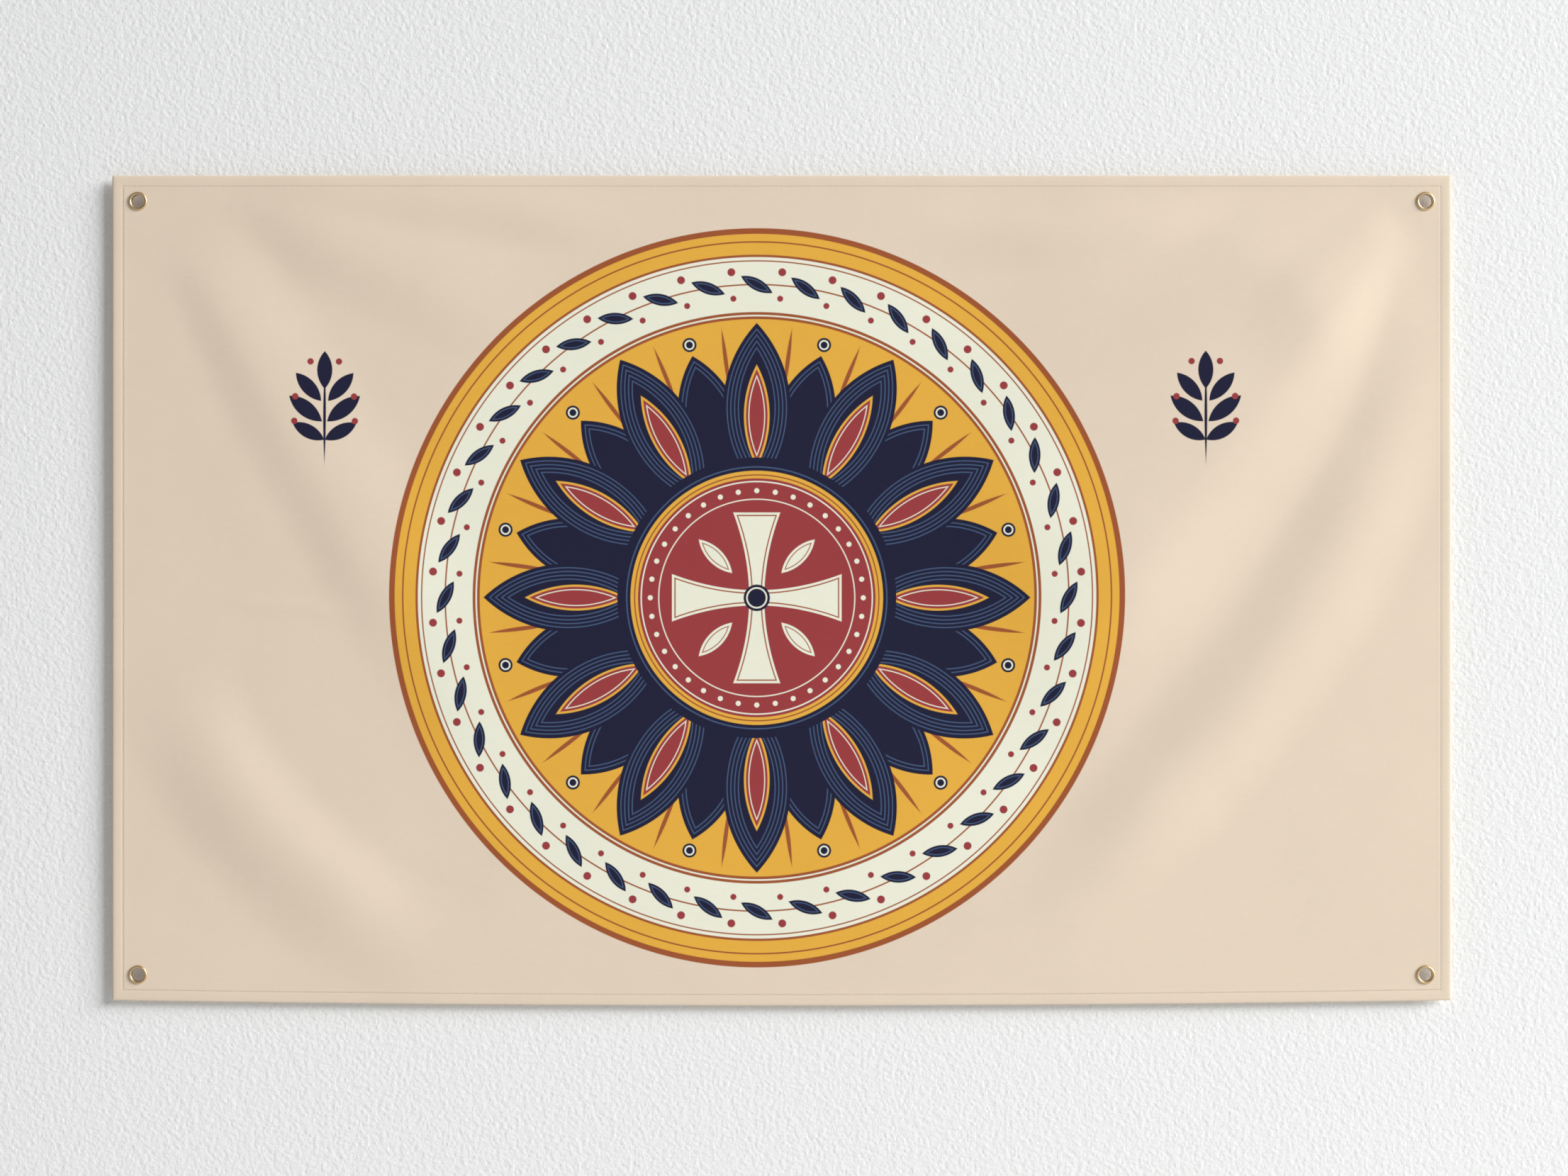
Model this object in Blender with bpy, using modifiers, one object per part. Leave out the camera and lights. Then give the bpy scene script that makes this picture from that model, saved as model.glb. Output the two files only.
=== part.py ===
# A printed wall flag: one cloth with a turned hem, hung flat against a wall by a metal eyelet in each corner.
# Units are metres. X runs to the viewer's right, Z up, and the printed front faces -Y.
# The origin is the middle of the top edge, on the cloth's front.

from collections import namedtuple
from math import cos, pi, radians

import bmesh
import bpy
import numpy as np

# Cloth, measured flat
FLAG_WIDTH = 1.422
FLAG_HEIGHT = 0.876
CLOTH_THICKNESS = 0.001
HEM_THICKNESS = 0.002
HEM_WIDTH = 0.0115
HEM_STEP = 0.002
BOTTOM_SAG = 0.0056
STRIP_WIDTH = 0.050
PIECE_GAP = 0.0003

# Mesh lines of the cloth: their mean distance, and how much closer they lie at the sides, where the
# folds are, than on the mean. In the middle they are as much wider apart.
GRID_STEP = 0.028
SIDE_CROWDING = 0.3

# How far the middle of the cloth stands out from the plane of its edges
BILLOW = 0.003

# Eyelets: distance of a centre from the two nearest edges, then the turned section
EYELET_INSET = 0.0273
HOLE_RADIUS = 0.0068
BARREL_RADIUS = 0.0073
FLANGE_RADIUS = 0.0100
FLANGE_HEIGHT = 0.0019
LIP_RADIUS = 0.0088
LIP_THICKNESS = 0.0006
WASHER_RADIUS = 0.0099
WASHER_THICKNESS = 0.0006
TURN_STEPS = 24

# The cloth lies flat this far round an eyelet and takes its full folds this far out
FLAT_RADIUS = 0.014
FREE_RADIUS = 0.055

# Each fold is a soft ridge. Its crest runs in an even curve from start through middle to end, given as
# distances to the right of the flag's middle and down from the top edge. Its full widths are measured
# across the crest, on the left and on the right of the way from start to end as seen from the front.
# It starts at a share of those widths. Shares of its length say where it has risen to its full height
# and from where it fades.
Fold = namedtuple("Fold", "name start middle end height left_width right_width start_width risen fades")
FOLDS = (
    Fold("left, long", (-0.648, 0.044), (-0.5, 0.296), (-0.3, 0.64), 0.0038, 0.1, 0.068, 0.66, 0.3, 0.6),
    Fold("left, middle", (-0.6, 0.012), (-0.44, 0.084), (-0.24, 0.178), 0.0036, 0.095, 0.072, 0.5, 0.4, 0.65),
    Fold("left, upper", (-0.56, 0.004), (-0.33, 0.03), (-0.12, 0.052), 0.0032, 0.05, 0.045, 0.5, 0.45, 0.6),
    Fold("right, upper", (0.5, 0.018), (0.335, 0.06), (0.11, 0.066), 0.003, 0.04, 0.04, 0.5, 0.4, 0.6),
    Fold("right, long", (0.655, 0.04), (0.472, 0.275), (0.236, 0.585), 0.0092, 0.11, 0.34, 0.4, 0.27, 0.74),
    Fold("right, outer", (0.684, 0.11), (0.56, 0.452), (0.252, 0.795), 0.0056, 0.08, 0.074, 0.6, 0.5, 0.8),
    Fold("left, low", (-0.655, 0.48), (-0.546, 0.694), (-0.3, 0.856), 0.005, 0.07, 0.085, 1.0, 0.4, 0.66),
)
CREST_POINTS = 24

# The share of its length at which a fold has its full widths
FULL_WIDTH_BY = 0.50

COLOURS = {
    "cloth": (0.72, 0.60, 0.46, 1.0),
    "brass": (0.72, 0.55, 0.30, 1.0),
}


def material(name, colour, roughness, metallic):
    made = bpy.data.materials.new(name)
    made.use_nodes = True
    shader = made.node_tree.nodes["Principled BSDF"]
    shader.inputs["Base Color"].default_value = colour
    shader.inputs["Roughness"].default_value = roughness
    shader.inputs["Metallic"].default_value = metallic
    return made


def smooth_step(value, low, high):
    share = np.clip((value - low) / (high - low), 0.0, 1.0)
    return share * share * (3.0 - 2.0 * share)


def crest_line(fold):
    """Points along a fold's crest: the parabola that is at the fold's middle point halfway."""
    t = np.linspace(0.0, 1.0, CREST_POINTS)[:, None]
    start, middle, end = (np.array(place) for place in (fold.start, fold.middle, fold.end))
    control = 2 * middle - (start + end) / 2
    return (1 - t) ** 2 * start + 2 * t * (1 - t) * control + t**2 * end


def fold_lift(fold, across, down):
    """How far one fold lifts the cloth at points given by their distances across and down."""
    line = crest_line(fold)
    points = np.stack([across, down], axis=-1)[:, None, :]
    first, step = line[:-1][None], np.diff(line, axis=0)[None]
    along = np.clip(((points - first) * step).sum(-1) / (step**2).sum(-1), 0.0, 1.0)
    offset = points - first - along[..., None] * step
    distance = np.sqrt((offset**2).sum(-1))
    nearest = distance.argmin(axis=1)
    rows = np.arange(len(nearest))
    side = step[0, nearest, 0] * offset[rows, nearest, 1] - step[0, nearest, 1] * offset[rows, nearest, 0]
    share = (nearest + along[rows, nearest]) / (len(line) - 1)
    growth = fold.start_width + (1 - fold.start_width) * smooth_step(share, 0.0, FULL_WIDTH_BY)
    width = np.where(side > 0, fold.right_width, fold.left_width) * growth
    crossing = np.clip(distance[rows, nearest] / width, 0.0, 1.0)
    rise = smooth_step(share, 0.0, fold.risen) * (1 - smooth_step(share, fold.fades, 1.0))
    return fold.height * rise * 0.5 * (1.0 + np.cos(pi * crossing))


def eyelet_centres():
    """Name and (across, down) of each eyelet's centre."""
    side = FLAG_WIDTH / 2 - EYELET_INSET
    low = FLAG_HEIGHT - EYELET_INSET
    return {
        "top_left": (-side, EYELET_INSET),
        "top_right": (side, EYELET_INSET),
        "bottom_left": (-side, low),
        "bottom_right": (side, low),
    }


def cloth_lift(across, down):
    """How far the cloth's front stands towards the viewer, with every fold, flat at the eyelets."""
    reach = np.clip(2 * np.abs(across) / FLAG_WIDTH, 0.0, 1.0)
    depth = np.clip(2 * np.abs(down / FLAG_HEIGHT - 0.5), 0.0, 1.0)
    lift = BILLOW * np.cos(pi / 2 * reach) * np.cos(pi / 2 * depth)
    for fold in FOLDS:
        lift = lift + fold_lift(fold, across, down)
    for x, z in eyelet_centres().values():
        away = np.hypot(across - x, down - z)
        lift = lift * smooth_step(away, FLAT_RADIUS, FREE_RADIUS)
    return lift


def drop(across, down):
    """Height of a point below the top edge: the lower edge sags in the middle."""
    sag = BOTTOM_SAG * (1.0 - (2 * across / FLAG_WIDTH) ** 2)
    return down * (1.0 + sag / FLAG_HEIGHT)


def stations(low, high, hem_low, hem_high, crowding):
    """Grid lines from low to high, with a close pair where a hem ends."""
    start = low + (HEM_WIDTH + HEM_STEP if hem_low else 0.0)
    stop = high - (HEM_WIDTH + HEM_STEP if hem_high else 0.0)
    count = max(1, round((stop - start) / GRID_STEP))
    share = np.linspace(0.0, 1.0, count + 1)
    share = share - crowding * np.sin(2 * pi * share) / (2 * pi)
    lines = list(start + (stop - start) * share)
    if hem_low:
        lines = [low, low + HEM_WIDTH, *lines]
    if hem_high:
        lines = [*lines, high - HEM_WIDTH, high]
    return np.array(lines)


def cloth_piece(name, low, high, collection, look):
    """A cut of the cloth between two distances across, full height, as a thickened sheet with its hem."""
    half = FLAG_WIDTH / 2
    columns = stations(low, high, low <= -half, high >= half, SIDE_CROWDING)
    rows = stations(0.0, FLAG_HEIGHT, True, True, 0.0)
    mesh = bpy.data.meshes.new(name)
    grid = bmesh.new()
    bmesh.ops.create_grid(grid, x_segments=len(columns) - 1, y_segments=len(rows) - 1, size=1.0)
    column = [round((v.co.x + 1) / 2 * (len(columns) - 1)) for v in grid.verts]
    row = [round((1 - v.co.y) / 2 * (len(rows) - 1)) for v in grid.verts]
    across, down = columns[column], rows[row]
    lift, fall = cloth_lift(across, down), drop(across, down)
    hemmed = (
        (down <= HEM_WIDTH + 1e-6)
        | (down >= FLAG_HEIGHT - HEM_WIDTH - 1e-6)
        | (np.abs(across) >= half - HEM_WIDTH - 1e-6)
    )
    for vertex, x, out, z in zip(grid.verts, across, lift, fall):
        vertex.co = (x, -out, -z)
    grid.to_mesh(mesh)
    grid.free()
    piece = bpy.data.objects.new(name, mesh)
    collection.objects.link(piece)
    piece.data.materials.append(look)
    group = piece.vertex_groups.new(name="hem")
    group.add([int(i) for i in np.flatnonzero(hemmed)], 1.0, "REPLACE")
    thicken = piece.modifiers.new("thickness", "SOLIDIFY")
    thicken.thickness = HEM_THICKNESS
    thicken.offset = -1.0
    thicken.vertex_group = "hem"
    thicken.thickness_vertex_group = CLOTH_THICKNESS / HEM_THICKNESS
    return piece


def cut_hole(piece, x, z, cutters):
    """Cuts the round hole that an eyelet's barrel passes through."""
    made = bmesh.new()
    bmesh.ops.create_cone(
        made,
        cap_ends=True,
        segments=TURN_STEPS,
        radius1=BARREL_RADIUS + PIECE_GAP,
        radius2=BARREL_RADIUS + PIECE_GAP,
        depth=6 * HEM_THICKNESS,
    )
    mesh = bpy.data.meshes.new(f"{piece.name}_hole")
    made.to_mesh(mesh)
    made.free()
    cutter = bpy.data.objects.new(f"{piece.name}_hole", mesh)
    cutters.objects.link(cutter)
    cutter.location = (x, 0.0, -z)
    cutter.rotation_euler = (radians(90), 0.0, 0.0)
    cutter.hide_render = True
    cutter.display_type = "WIRE"
    cut = piece.modifiers.new("hole", "BOOLEAN")
    cut.operation = "DIFFERENCE"
    cut.object = cutter


def turned_ring(name, section, x, z, collection, look):
    """A ring turned about an axis square to the flag. The section is (radius, height to the front)."""
    mesh = bpy.data.meshes.new(name)
    outline = bmesh.new()
    corners = [outline.verts.new((r, 0.0, h)) for r, h in section]
    for corner, following in zip(corners, corners[1:] + corners[:1]):
        outline.edges.new((corner, following))
    outline.to_mesh(mesh)
    outline.free()
    ring = bpy.data.objects.new(name, mesh)
    collection.objects.link(ring)
    ring.data.materials.append(look)
    ring.location = (x, 0.0, -z)
    ring.rotation_euler = (radians(90), 0.0, 0.0)
    turn = ring.modifiers.new("turned", "SCREW")
    turn.axis = "Z"
    turn.angle = 2 * pi
    turn.steps = TURN_STEPS
    turn.render_steps = TURN_STEPS
    turn.use_merge_vertices = True
    turn.merge_threshold = 0.00001
    turn.use_smooth_shade = True
    return ring


def eyelet_section():
    """Domed front flange, barrel through the cloth, and the end rolled over behind the washer."""
    under = PIECE_GAP
    lip_front = -(CLOTH_THICKNESS + WASHER_THICKNESS + 3 * PIECE_GAP)
    lip_back = lip_front - LIP_THICKNESS
    edge = 0.0002
    middle = (HOLE_RADIUS + FLANGE_RADIUS) / 2
    spread = (FLANGE_RADIUS - HOLE_RADIUS) / 2
    rise = FLANGE_HEIGHT - under
    dome = []
    for angle in (150, 120, 90, 60, 30):
        across = middle + spread * cos(radians(angle))
        height = under + rise * cos(radians(angle - 90))
        dome.append((across, height))
    return [
        *dome,
        (FLANGE_RADIUS, under),
        (BARREL_RADIUS, under),
        (BARREL_RADIUS, lip_front),
        (LIP_RADIUS - edge, lip_front),
        (LIP_RADIUS, (lip_front + lip_back) / 2),
        (LIP_RADIUS - edge, lip_back),
        (HOLE_RADIUS + edge, lip_back),
        (HOLE_RADIUS, lip_back + edge),
        (HOLE_RADIUS, under + rise / 4),
    ]


def washer_section():
    """Flat ring clamped between the cloth's back and the eyelet's rolled end."""
    front = -(CLOTH_THICKNESS + PIECE_GAP)
    back = front - WASHER_THICKNESS
    bore = BARREL_RADIUS + PIECE_GAP
    return [(bore, front), (WASHER_RADIUS, front), (WASHER_RADIUS, back), (bore, back)]


def main():
    for thing in list(bpy.data.objects):
        bpy.data.objects.remove(thing)
    flag = bpy.data.collections.new("religious_flag")
    cutters = bpy.data.collections.new("cutters")
    for collection in (flag, cutters):
        bpy.context.scene.collection.children.link(collection)
    cloth = material("cloth", COLOURS["cloth"], 0.85, 0.0)
    brass = material("brass", COLOURS["brass"], 0.3, 1.0)

    half = FLAG_WIDTH / 2
    seam = half - STRIP_WIDTH
    cloth_piece("panel", -seam + PIECE_GAP / 2, seam - PIECE_GAP / 2, flag, cloth)
    strips = {
        "left": cloth_piece("left_strip", -half, -seam - PIECE_GAP / 2, flag, cloth),
        "right": cloth_piece("right_strip", seam + PIECE_GAP / 2, half, flag, cloth),
    }
    for place, (x, z) in eyelet_centres().items():
        cut_hole(strips[place.split("_")[1]], x, z, cutters)
        turned_ring(f"eyelet_{place}", eyelet_section(), x, z, flag, brass)
        turned_ring(f"washer_{place}", washer_section(), x, z, flag, brass)


main()
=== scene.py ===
import math
from collections import namedtuple

import bmesh
import bpy
import numpy as np
from mathutils import Matrix, Vector, noise


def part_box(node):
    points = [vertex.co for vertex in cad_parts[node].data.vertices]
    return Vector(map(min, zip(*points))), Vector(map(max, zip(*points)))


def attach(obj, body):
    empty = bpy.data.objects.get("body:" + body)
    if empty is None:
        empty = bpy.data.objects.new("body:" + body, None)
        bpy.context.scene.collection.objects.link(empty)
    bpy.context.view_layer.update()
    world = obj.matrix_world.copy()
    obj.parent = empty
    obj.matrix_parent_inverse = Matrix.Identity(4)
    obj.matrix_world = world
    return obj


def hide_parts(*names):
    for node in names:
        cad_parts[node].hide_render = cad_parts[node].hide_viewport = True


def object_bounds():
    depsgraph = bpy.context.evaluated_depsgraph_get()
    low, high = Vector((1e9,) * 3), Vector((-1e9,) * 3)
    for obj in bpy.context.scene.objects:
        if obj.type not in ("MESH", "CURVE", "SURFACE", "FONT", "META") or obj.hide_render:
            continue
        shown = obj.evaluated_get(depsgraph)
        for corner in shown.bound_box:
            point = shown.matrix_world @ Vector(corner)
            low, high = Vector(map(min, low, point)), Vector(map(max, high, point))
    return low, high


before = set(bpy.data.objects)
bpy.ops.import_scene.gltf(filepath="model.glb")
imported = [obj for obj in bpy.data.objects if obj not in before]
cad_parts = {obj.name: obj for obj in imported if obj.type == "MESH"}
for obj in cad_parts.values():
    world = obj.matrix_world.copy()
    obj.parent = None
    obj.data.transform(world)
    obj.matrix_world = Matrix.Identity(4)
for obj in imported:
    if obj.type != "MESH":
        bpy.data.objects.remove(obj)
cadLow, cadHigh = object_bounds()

# A wall flag of printed twill with a stitched hem and a brass eyelet in each corner.
# Metres. +X is the viewer's right, -Y comes out of the print, +Z is up, and the top edge is at zero.
mm = 0.001


# A colour picked on screen, as the linear values that a shader wants
def linearColour(hexCode):
    parts = [int(hexCode[i:i + 2], 16) / 255 for i in (1, 3, 5)]
    return tuple(p / 12.92 if p <= 0.04045 else ((p + 0.055) / 1.055) ** 2.4 for p in parts) + (1.0,)


# Adds one node: settings are attributes or unlinked inputs, links go from an input to the output it reads
def addNode(tree, kind, settings=None, links=None):
    node = tree.nodes.new(kind)
    for key, value in (settings or {}).items():
        if isinstance(key, str) and hasattr(node, key):
            setattr(node, key, value)
        else:
            node.inputs[key].default_value = value
    for key, output in (links or {}).items():
        tree.links.new(output, node.inputs[key])
    return node


def newMaterial(name):
    material = bpy.data.materials.new(name)
    material.use_nodes = True
    material.node_tree.nodes.clear()
    return material, material.node_tree


# The hung cloth: its flat sizes, and the table of folds that the solids have too
flag = {
    "height": 0.876,            # flat, from the top edge down to a lower corner
    "meshStep": 0.006,          # mean distance of the mesh lines
    "thickness": 0.00215,       # of the hem where it is thickest
    "billow": 0.003,            # how far the middle stands out
    "flatRadius": 0.014,        # the cloth is flat this far round an eyelet
    "freeRadius": 0.055,        # and takes its full folds from here on
    "holeRadius": 0.0084,       # hidden under the eyelet's flange
    "holeSteps": 1.6,           # faces nearer than this many mesh steps make way for a hole
    "sharpFrom": 50,            # degrees between two faces that shade apart
    "broadWave": (0.16, 0.0005),   # size and height of the slow unevenness
    "smallWave": (0.045, 0.00010), # and of the small one
}
flagWidth = cadHigh.x - cadLow.x
flagSag = -cadLow.z - flag["height"]

# A soft ridge. Its crest runs from start through middle to end, across from the flag's middle and down
# from the top edge. Its widths lie left and right of that way, seen from the front, and it starts with
# a share of them. It has risen by one share of its crest and fades from another.
foldRow = namedtuple("foldRow", "start middle end height leftWidth rightWidth startWidth risen fades")
folds = [
    foldRow((-0.648, 0.044), (-0.5, 0.296), (-0.3, 0.64), 0.0038, 0.1, 0.068, 0.66, 0.3, 0.6),
    foldRow((-0.6, 0.012), (-0.44, 0.084), (-0.24, 0.178), 0.0036, 0.095, 0.072, 0.5, 0.4, 0.65),
    foldRow((-0.56, 0.004), (-0.33, 0.03), (-0.12, 0.052), 0.0032, 0.05, 0.045, 0.5, 0.45, 0.6),
    foldRow((0.5, 0.018), (0.335, 0.06), (0.11, 0.066), 0.003, 0.04, 0.04, 0.5, 0.4, 0.6),
    foldRow((0.655, 0.04), (0.472, 0.275), (0.236, 0.585), 0.0092, 0.11, 0.34, 0.4, 0.27, 0.74),
    foldRow((0.684, 0.11), (0.56, 0.452), (0.252, 0.795), 0.0056, 0.08, 0.074, 0.6, 0.5, 0.8),
    foldRow((-0.655, 0.48), (-0.546, 0.694), (-0.3, 0.856), 0.005, 0.07, 0.085, 1.0, 0.4, 0.66),
]
# Finer creases, only here: a steep flank high on the longest fold, and a faint level crease at the left
creases = [
    foldRow((0.66, 0.03), (0.585, 0.1), (0.485, 0.19), 0.0021, 0.13, 0.05, 0.6, 0.3, 0.65),
    foldRow((-0.6, 0.452), (-0.53, 0.456), (-0.45, 0.461), 0.0006, 0.012, 0.012, 1.0, 0.3, 0.7),
]
# A fold has grown to its full width by this share of its crest, which is cut into points
crest = {"fullWidthBy": 0.50, "points": 60}

# The turned hem from the edge inwards, in mm: how far its face stands out, and how thick it is
hemRow = namedtuple("hemRow", "inset rise thickness")
hemProfile = [
    hemRow(0.0, -0.85, 0.20),
    hemRow(0.35, -0.38, 1.10),
    hemRow(0.9, -0.12, 1.70),
    hemRow(1.8, 0.06, 2.00),
    hemRow(4.0, 0.15, 2.15),
    hemRow(6.5, 0.17, 2.15),
    hemRow(9.0, 0.10, 2.05),
    hemRow(10.6, 0.00, 1.90),
    hemRow(11.5, -0.20, 1.60),   # the stitched line pulls it in
    hemRow(12.3, 0.04, 1.85),
    hemRow(13.0, 0.06, 1.00),    # the turned-in edge ends on the back
    hemRow(15.0, 0.00, 0.90),
]
# Thread shows for a share of each pitch. Width and rise are half a stitch's, and a bead's faces run
# round and along.
stitch = {"inset": 0.0115, "pitch": 0.0026, "share": 0.64, "width": 0.00030, "rise": 0.00014,
          "round": 6, "along": 4}


def smoothStep(value, low, high):
    share = np.clip((value - low) / (high - low), 0.0, 1.0)
    return share * share * (3 - 2 * share)


def crestLine(fold):
    t = np.linspace(0, 1, crest["points"])[:, None]
    start, middle, end = (np.array(place) for place in (fold.start, fold.middle, fold.end))
    control = 2 * middle - (start + end) / 2
    return (1 - t) ** 2 * start + 2 * t * (1 - t) * control + t ** 2 * end


def foldLift(fold, across, down):
    line = crestLine(fold)
    lift = np.zeros(len(across))
    reach = max(fold.leftWidth, fold.rightWidth)
    low, high = line.min(axis=0) - reach, line.max(axis=0) + reach
    near = (across > low[0]) & (across < high[0]) & (down > low[1]) & (down < high[1])
    # The nearest place on the crest for each point
    points = np.stack([across[near], down[near]], axis=-1)[:, None, :]
    first, step = line[:-1][None], np.diff(line, axis=0)[None]
    along = np.clip(((points - first) * step).sum(-1) / (step ** 2).sum(-1), 0, 1)
    offset = points - first - along[..., None] * step
    distance = np.sqrt((offset ** 2).sum(-1))
    nearest = distance.argmin(axis=1)
    # The side that the point lies on, and how far along the crest
    rows = np.arange(len(nearest))
    side = step[0, nearest, 0] * offset[rows, nearest, 1] - step[0, nearest, 1] * offset[rows, nearest, 0]
    share = (nearest + along[rows, nearest]) / (len(line) - 1)
    growth = fold.startWidth + (1 - fold.startWidth) * smoothStep(share, 0, crest["fullWidthBy"])
    width = np.where(side > 0, fold.rightWidth, fold.leftWidth) * growth
    crossing = np.clip(distance[rows, nearest] / width, 0, 1)
    rise = smoothStep(share, 0, fold.risen) * (1 - smoothStep(share, fold.fades, 1))
    lift[near] = fold.height * rise * 0.5 * (1 + np.cos(math.pi * crossing))
    return lift


def eyeletMiddles():
    middles = {}
    for row in ("Top", "Bottom"):
        for side in ("Left", "Right"):
            low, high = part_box(f"eyelet_{row.lower()}_{side.lower()}")
            middles[row + side] = (low + high) / 2
    return middles


eyelets = eyeletMiddles()
eyeletInset = eyelets["TopLeft"].x - cadLow.x


# The cloth's front at a flat place: how far it stands out, all told
def clothLift(across, down):
    reach = np.clip(2 * np.abs(across) / flagWidth, 0, 1)
    depth = np.clip(2 * np.abs(down / flag["height"] - 0.5), 0, 1)
    lift = flag["billow"] * np.cos(math.pi / 2 * reach) * np.cos(math.pi / 2 * depth)
    for fold in folds + creases:
        lift = lift + foldLift(fold, across, down)
    for size, height in (flag["broadWave"], flag["smallWave"]):
        places = zip(across / size, down / size)
        lift = lift + height * np.array([noise.noise(Vector((x, z, size))) for x, z in places])
    for middle in eyelets.values():
        away = np.hypot(across - middle.x, down + middle.z)
        lift = lift * smoothStep(away, flag["flatRadius"], flag["freeRadius"])
    return lift + hemAt(edgeInset(across, down), "rise")


def edgeInset(across, down):
    return np.minimum(flagWidth / 2 - np.abs(across), np.minimum(down, flag["height"] - down))


# A column of the hem's table at some distances from the edge, all in metres
def hemAt(inset, column):
    return np.interp(inset, [row.inset * mm for row in hemProfile],
                     [getattr(row, column) * mm for row in hemProfile])


# World places of the cloth's front for flat places, the lower edge sagging in the middle
def clothPlaces(across, down, behind=0.0):
    sag = flagSag * (1 - (2 * across / flagWidth) ** 2)
    fall = down * (1 + sag / flag["height"])
    return np.stack([across, behind - clothLift(across, down), -fall], axis=-1)


# Mesh lines across or down: close at the hem, even round an eyelet, then in steps
def meshLines(length):
    corner = [row.inset * mm for row in hemProfile]
    corner += [eyeletInset + share * flag["meshStep"] for share in (-1.5, -0.5, 0.5, 1.5)]
    count = round((length - 2 * corner[-1]) / flag["meshStep"])
    inner = np.linspace(corner[-1], length - corner[-1], count + 1)[1:-1]
    return np.array(corner + list(inner) + [length - line for line in reversed(corner)])


def meshObject(bm, name, materials):
    mesh = bpy.data.meshes.new(name)
    bm.to_mesh(mesh)
    bm.free()
    mesh.shade_smooth()
    piece = bpy.data.objects.new(name, mesh)
    bpy.context.scene.collection.objects.link(piece)
    for material in materials:
        mesh.materials.append(material)
    return piece


# Gives a piece the mesh that its modifiers make, and leaves none on it
def settleMesh(piece):
    solid = bpy.data.meshes.new_from_object(piece.evaluated_get(bpy.context.evaluated_depsgraph_get()))
    piece.modifiers.clear()
    piece.data = solid


# Cuts a round hole under each eyelet's flange
def cutHoles(bm, flatPlaces):
    for middle in eyelets.values():
        inside = [f for f in bm.faces
                  if (f.calc_center_median() - middle).xz.length < flag["holeSteps"] * flag["meshStep"]]
        rim = {v for f in inside for v in f.verts if any(g not in inside for g in v.link_faces)}
        bmesh.ops.delete(bm, geom=inside, context="FACES")
        for v in rim:
            out = (v.co - middle).xz.normalized() * flag["holeRadius"]
            v.co.x, v.co.z = middle.x + out.x, middle.z + out.y
            flatPlaces[v] = (v.co.x, v.co.z)


def buildCloth(front, back):
    columns, rows = meshLines(flagWidth) - flagWidth / 2, meshLines(flag["height"])
    bm = bmesh.new()
    bmesh.ops.create_grid(bm, x_segments=len(columns) - 1, y_segments=len(rows) - 1, size=1.0)
    across = columns[[round((v.co.x + 1) / 2 * (len(columns) - 1)) for v in bm.verts]]
    down = rows[[round((1 - v.co.y) / 2 * (len(rows) - 1)) for v in bm.verts]]
    thickness = hemAt(edgeInset(across, down), "thickness")
    weights = bm.verts.layers.deform.verify()
    for v, place, thick in zip(bm.verts, clothPlaces(across, down), thickness):
        v.co = place
        v[weights][0] = thick / flag["thickness"]
    flatPlaces = {v: (x, -z) for v, x, z in zip(bm.verts, across, down)}
    cutHoles(bm, flatPlaces)
    flat = bm.loops.layers.uv.new("flatCloth")
    for face in bm.faces:
        for loop in face.loops:
            loop[flat].uv = flatPlaces[loop.vert]
    cloth = meshObject(bm, "flagCloth", [front, back])
    cloth.vertex_groups.new(name="hem")
    thicken = cloth.modifiers.new("thickness", "SOLIDIFY")
    thicken.thickness = flag["thickness"]
    thicken.offset = -1
    thicken.vertex_group = "hem"
    thicken.thickness_vertex_group = 0.0
    thicken.material_offset = 1
    settleMesh(cloth)
    cloth.data.set_sharp_from_angle(angle=math.radians(flag["sharpFrom"]))
    return cloth


# Where the stitches of a row start and end, all round on the cloth's front or on its back
def stitchEnds(onBack):
    half, inset, pitch = flagWidth / 2, stitch["inset"], stitch["pitch"]
    corners = [(-half + inset, inset), (half - inset, inset),
               (half - inset, flag["height"] - inset), (-half + inset, flag["height"] - inset)]
    starts, ends = [], []
    for corner, following in zip(corners, corners[1:] + corners[:1]):
        a, b = np.array(corner), np.array(following)
        count = round(np.linalg.norm(b - a) / pitch)
        for i in range(count):
            starts.append(a + (b - a) * (i + 0.5 - stitch["share"] / 2) / count)
            ends.append(a + (b - a) * (i + 0.5 + stitch["share"] / 2) / count)
    behind = hemAt(inset, "thickness") if onBack else 0.0
    return clothPlaces(*np.array(starts).T, behind), clothPlaces(*np.array(ends).T, behind)


# One row of stitches, each a slim bead between two needle holes
def buildStitches(name, material, onBack):
    starts, ends = stitchEnds(onBack)
    outwards = Vector((0, 1, 0)) if onBack else Vector((0, -1, 0))
    bead = bmesh.new()
    bmesh.ops.create_uvsphere(bead, u_segments=stitch["round"], v_segments=stitch["along"], radius=1)
    oneStitch = bpy.data.meshes.new("oneStitch")
    bead.to_mesh(oneStitch)
    bead.free()
    bm = bmesh.new()
    for _ in starts:
        bm.from_mesh(oneStitch)
    vertices = iter(bm.verts)
    for start, end in zip(starts, ends):
        a, b = Vector(start), Vector(end)
        along = (b - a).normalized()
        acrossIt = outwards.cross(along).normalized()
        turn = Matrix((along, acrossIt, along.cross(acrossIt))).transposed().to_4x4()
        size = Matrix.Diagonal(((b - a).length / 2, stitch["width"], stitch["rise"], 1))
        place = Matrix.Translation((a + b) / 2) @ turn @ size
        for _, v in zip(oneStitch.vertices, vertices):
            v.co = place @ v.co
    bpy.data.meshes.remove(oneStitch)
    return meshObject(bm, name, [material])


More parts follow.
